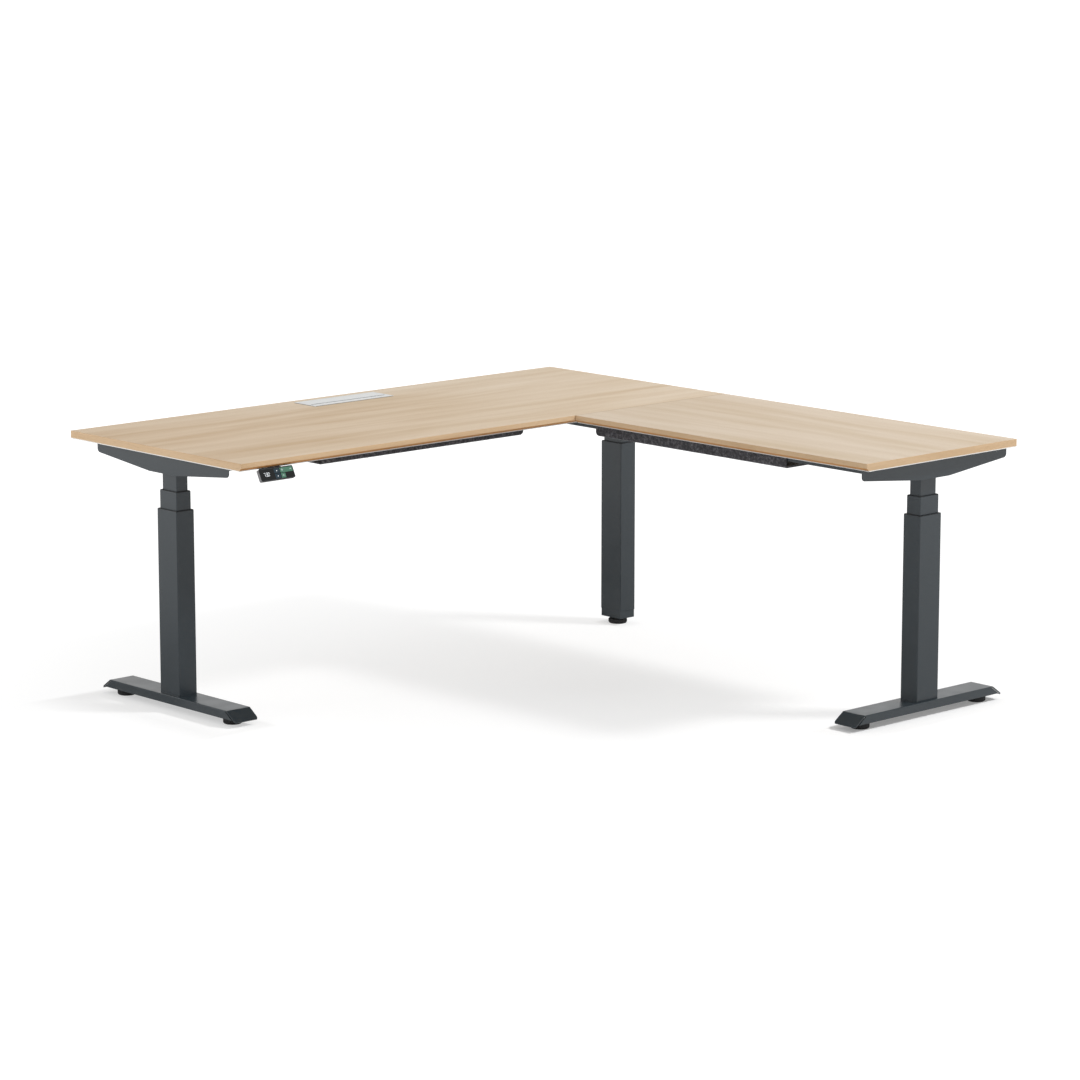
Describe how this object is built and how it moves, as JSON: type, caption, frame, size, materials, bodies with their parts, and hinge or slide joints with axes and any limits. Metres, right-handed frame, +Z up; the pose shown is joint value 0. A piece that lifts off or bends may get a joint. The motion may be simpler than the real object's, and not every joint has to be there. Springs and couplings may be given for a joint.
{
  "type": "height adjustable corner desk",
  "caption": "L-shaped sit-stand desk: two oak-laminate boards on telescopic lifting columns, with felt cable trays, cable flap and handset.",
  "frame": {"origin": "floor level, centre of the desk's rectangular outline", "axes": "+X along the main top to its right end, +Y to the back edge of the main top, +Z up; the return runs towards -Y at the right end"},
  "size_m": [1.8, 1.86, 0.7315],
  "materials": {
    "frame_paint": "fine-texture powder coat, dark slate grey",
    "zinc": "zinc-plated steel",
    "black_plastic": "black moulded plastic",
    "nut_plastic": "natural acetal",
    "motor_black": "black painted die casting",
    "glide_plastic": "black glide pad",
    "oak_laminate": "light oak laminate, satin",
    "grey_felt": "pressed felt, mottled dark grey",
    "handset_black": "black moulded plastic",
    "handset_gloss": "gloss black panel",
    "key_navy": "gloss navy key",
    "key_green": "gloss green key",
    "white_paint": "white powder-coated aluminium"
  },
  "bodies": {
    "left_base": {"left_foot": "frame_paint", "left_foot_bolts": "zinc", "left_outer_tube": "frame_paint", "left_outer_bush": "black_plastic", "left_base_rod": "zinc"},
    "left_middle": {"left_middle_tube": "frame_paint", "left_middle_bush": "black_plastic"},
    "left_screw": {"left_lift_screw": "zinc"},
    "left_drive": {"left_drive_shaft": "zinc"},
    "corner_base": {"corner_foot": "frame_paint", "corner_foot_bolts": "zinc", "corner_outer_tube": "frame_paint", "corner_outer_bush": "black_plastic", "corner_base_rod": "zinc"},
    "corner_middle": {"corner_middle_tube": "frame_paint", "corner_middle_bush": "black_plastic"},
    "corner_screw": {"corner_lift_screw": "zinc"},
    "corner_drive": {"corner_drive_shaft": "zinc"},
    "right_base": {"right_foot": "frame_paint", "right_foot_bolts": "zinc", "right_outer_tube": "frame_paint", "right_outer_bush": "black_plastic", "right_base_rod": "zinc"},
    "right_middle": {"right_middle_tube": "frame_paint", "right_middle_bush": "black_plastic"},
    "right_screw": {"right_lift_screw": "zinc"},
    "right_drive": {"right_drive_shaft": "zinc"},
    "desktop": {"left_inner_tube": "frame_paint", "left_lift_nut": "nut_plastic", "left_motor": "motor_black", "left_bracket": "frame_paint", "corner_inner_tube": "frame_paint", "corner_lift_nut": "nut_plastic", "corner_motor": "motor_black", "corner_bracket": "frame_paint", "right_inner_tube": "frame_paint", "right_lift_nut": "nut_plastic", "right_motor": "motor_black", "right_bracket": "frame_paint", "main_top": "oak_laminate", "return_top": "oak_laminate", "main_rails": "frame_paint", "return_rails": "frame_paint", "main_tray": "grey_felt", "return_tray": "grey_felt", "control_box": "black_plastic", "handset_shell": "handset_black", "handset_panel": "handset_gloss", "flap_frame": "white_paint", "frame_screws": "zinc"},
    "left_front_glide_body": {"left_front_glide": "glide_plastic"},
    "left_back_glide_body": {"left_back_glide": "glide_plastic"},
    "right_left_glide_body": {"right_left_glide": "glide_plastic"},
    "right_right_glide_body": {"right_right_glide": "glide_plastic"},
    "corner_glide_body": {"corner_glide": "glide_plastic"},
    "raise_button": {"raise_key": "key_navy"},
    "lower_button": {"lower_key": "key_navy"},
    "sit_button": {"sit_key": "key_green"},
    "stand_button": {"stand_key": "key_green"},
    "lid": {"flap_lid": "white_paint"}
  },
  "joints": [
    {"name": "left_lower_stage", "type": "slide", "parent": "left_base", "child": "left_middle", "axis": [0, 0, 1], "range_m": [-0.04, 0.285]},
    {"name": "left_upper_stage", "type": "slide", "parent": "left_middle", "child": "desktop", "axis": [0, 0, 1], "range_m": [-0.04, 0.285]},
    {"name": "corner_upper_stage", "type": "slide", "parent": "desktop", "child": "corner_middle", "axis": [0, 0, -1], "range_m": [-0.04, 0.285]},
    {"name": "corner_lower_stage", "type": "slide", "parent": "corner_middle", "child": "corner_base", "axis": [0, 0, -1], "range_m": [-0.04, 0.285]},
    {"name": "right_upper_stage", "type": "slide", "parent": "desktop", "child": "right_middle", "axis": [0, 0, -1], "range_m": [-0.04, 0.285]},
    {"name": "right_lower_stage", "type": "slide", "parent": "right_middle", "child": "right_base", "axis": [0, 0, -1], "range_m": [-0.04, 0.285]},
    {"name": "left_screw_turn", "type": "hinge", "parent": "left_middle", "child": "left_screw", "pos_m": [-0.83, 0.555, 0.35], "axis": [0, 0, 1], "continuous": true},
    {"name": "left_drive_turn", "type": "hinge", "parent": "desktop", "child": "left_drive", "pos_m": [-0.83, 0.555, 0.45], "axis": [0, 0, 1], "continuous": true},
    {"name": "corner_screw_turn", "type": "hinge", "parent": "corner_middle", "child": "corner_screw", "pos_m": [0.83, 0.555, 0.35], "axis": [0, 0, 1], "continuous": true},
    {"name": "corner_drive_turn", "type": "hinge", "parent": "desktop", "child": "corner_drive", "pos_m": [0.83, 0.555, 0.45], "axis": [0, 0, 1], "continuous": true},
    {"name": "right_screw_turn", "type": "hinge", "parent": "right_middle", "child": "right_screw", "pos_m": [0.6, -0.86, 0.35], "axis": [0, 0, 1], "continuous": true},
    {"name": "right_drive_turn", "type": "hinge", "parent": "desktop", "child": "right_drive", "pos_m": [0.6, -0.86, 0.45], "axis": [0, 0, 1], "continuous": true},
    {"name": "left_front_glide_screw", "type": "slide", "parent": "left_base", "child": "left_front_glide_body", "axis": [0, 0, -1], "range_m": [-0.004, 0.008]},
    {"name": "left_back_glide_screw", "type": "slide", "parent": "left_base", "child": "left_back_glide_body", "axis": [0, 0, -1], "range_m": [-0.004, 0.008]},
    {"name": "right_left_glide_screw", "type": "slide", "parent": "right_base", "child": "right_left_glide_body", "axis": [0, 0, -1], "range_m": [-0.004, 0.008]},
    {"name": "right_right_glide_screw", "type": "slide", "parent": "right_base", "child": "right_right_glide_body", "axis": [0, 0, -1], "range_m": [-0.004, 0.008]},
    {"name": "corner_glide_screw", "type": "slide", "parent": "corner_base", "child": "corner_glide_body", "axis": [0, 0, -1], "range_m": [-0.004, 0.008]},
    {"name": "flap_hinge", "type": "hinge", "parent": "desktop", "child": "lid", "pos_m": [0.0125, 0.8866, 0.7295], "axis": [-1, 0, 0], "range_deg": [0, 95]},
    {"name": "raise_key_press", "type": "slide", "parent": "desktop", "child": "raise_button", "axis": [0, 0.891, -0.454], "range_m": [0, 0.0008], "stiffness_N_per_m": 1500, "springref_m": -0.0004},
    {"name": "lower_key_press", "type": "slide", "parent": "desktop", "child": "lower_button", "axis": [0, 0.891, -0.454], "range_m": [0, 0.0008], "stiffness_N_per_m": 1500, "springref_m": -0.0004},
    {"name": "sit_key_press", "type": "slide", "parent": "desktop", "child": "sit_button", "axis": [0, 0.891, -0.454], "range_m": [0, 0.0008], "stiffness_N_per_m": 1500, "springref_m": -0.0004},
    {"name": "stand_key_press", "type": "slide", "parent": "desktop", "child": "stand_button", "axis": [0, 0.891, -0.454], "range_m": [0, 0.0008], "stiffness_N_per_m": 1500, "springref_m": -0.0004}
  ],
  "couplings": [
    {"joint": "left_upper_stage", "follows": "left_lower_stage", "ratio": 1},
    {"joint": "corner_upper_stage", "follows": "left_lower_stage", "ratio": 1},
    {"joint": "corner_lower_stage", "follows": "left_lower_stage", "ratio": 1},
    {"joint": "right_upper_stage", "follows": "left_lower_stage", "ratio": 1},
    {"joint": "right_lower_stage", "follows": "left_lower_stage", "ratio": 1},
    {"joint": "left_screw_turn", "follows": "left_lower_stage", "rad_per_m": 1047.2},
    {"joint": "left_drive_turn", "follows": "left_lower_stage", "rad_per_m": 1047.2},
    {"joint": "corner_screw_turn", "follows": "left_lower_stage", "rad_per_m": 1047.2},
    {"joint": "corner_drive_turn", "follows": "left_lower_stage", "rad_per_m": 1047.2},
    {"joint": "right_screw_turn", "follows": "left_lower_stage", "rad_per_m": 1047.2},
    {"joint": "right_drive_turn", "follows": "left_lower_stage", "rad_per_m": 1047.2}
  ]
}
